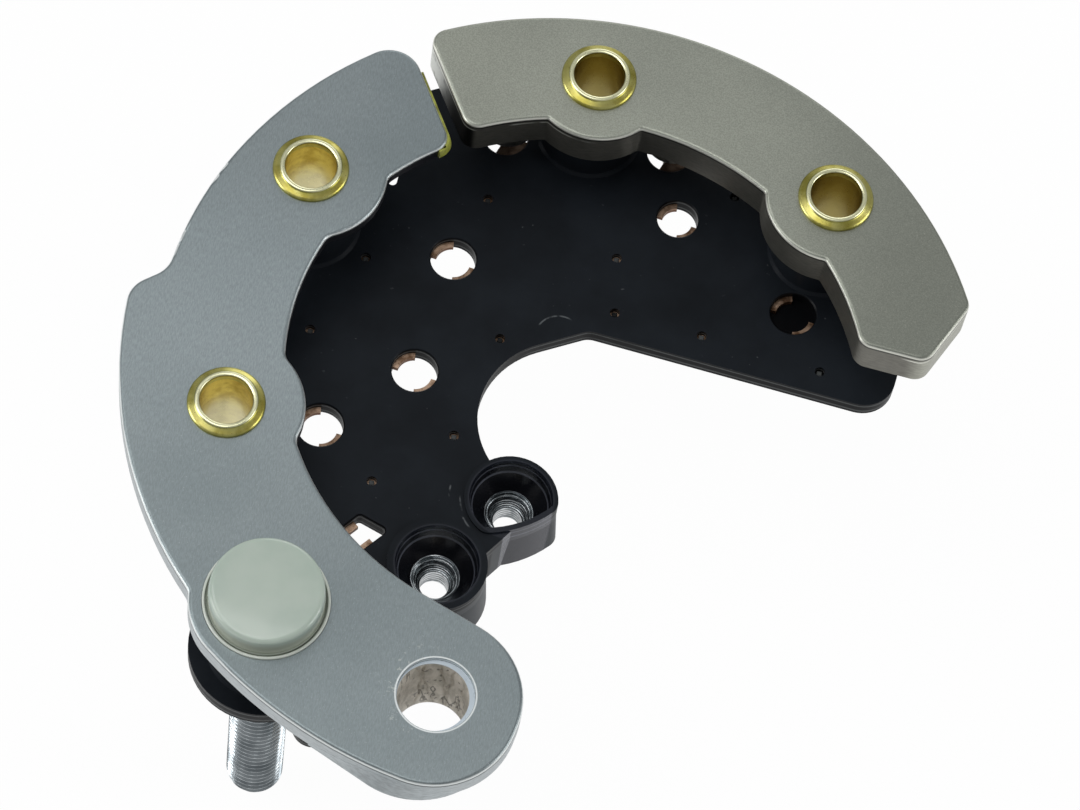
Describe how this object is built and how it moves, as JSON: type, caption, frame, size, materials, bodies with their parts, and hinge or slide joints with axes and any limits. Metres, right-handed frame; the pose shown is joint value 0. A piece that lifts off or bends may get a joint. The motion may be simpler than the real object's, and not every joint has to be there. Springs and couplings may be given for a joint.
{
  "type": "alternator rectifier",
  "caption": "Crescent heat sink plates riveted over a black terminal board, with a fixing ear, press-fit diodes, copper strips and a threaded output stud.",
  "frame": {"origin": "on the axis of the fixing ear's hole, at the seat under its sleeve", "axes": "+Z is the normal of both heat sink plates, towards their open faces; the plates run round an upright rotor axis at x 9.6 mm, y 49.5 mm; +X points right across the picture"},
  "size_m": [0.1116, 0.1189, 0.0616],
  "materials": {
    "positive_plate": "ground, fine grain",
    "negative_plate": "fine blasted",
    "black_board": "satin moulded",
    "brass": "rolled and polished",
    "zinc_steel": "zinc plated",
    "ear_lining": "rough cast",
    "milky_plastic": "translucent, satin",
    "olive_film": "thin film",
    "copper": "tinned copper",
    "diode_case": "nickel plated"
  },
  "bodies": {
    "root": {"positive_heat_sink": "positive_plate", "negative_heat_sink": "negative_plate", "terminal_board": "black_board", "output_stud": "zinc_steel", "stud_cap": "milky_plastic", "ear_sleeve": "ear_lining", "positive_end_film": "olive_film", "rivet_positive_upper": "brass", "rivet_positive_lower": "brass", "rivet_negative_left": "brass", "rivet_negative_right": "brass", "diode_positive_1": "diode_case", "diode_negative_1": "diode_case", "diode_negative_2": "diode_case", "diode_positive_2": "diode_case", "diode_positive_3": "diode_case", "diode_negative_3": "diode_case", "phase_1_copper_strip": "copper", "phase_2_copper_strip": "copper", "phase_3_copper_strip": "copper", "upper_well_bush": "zinc_steel", "lower_well_bush": "zinc_steel"}
  },
  "joints": []
}
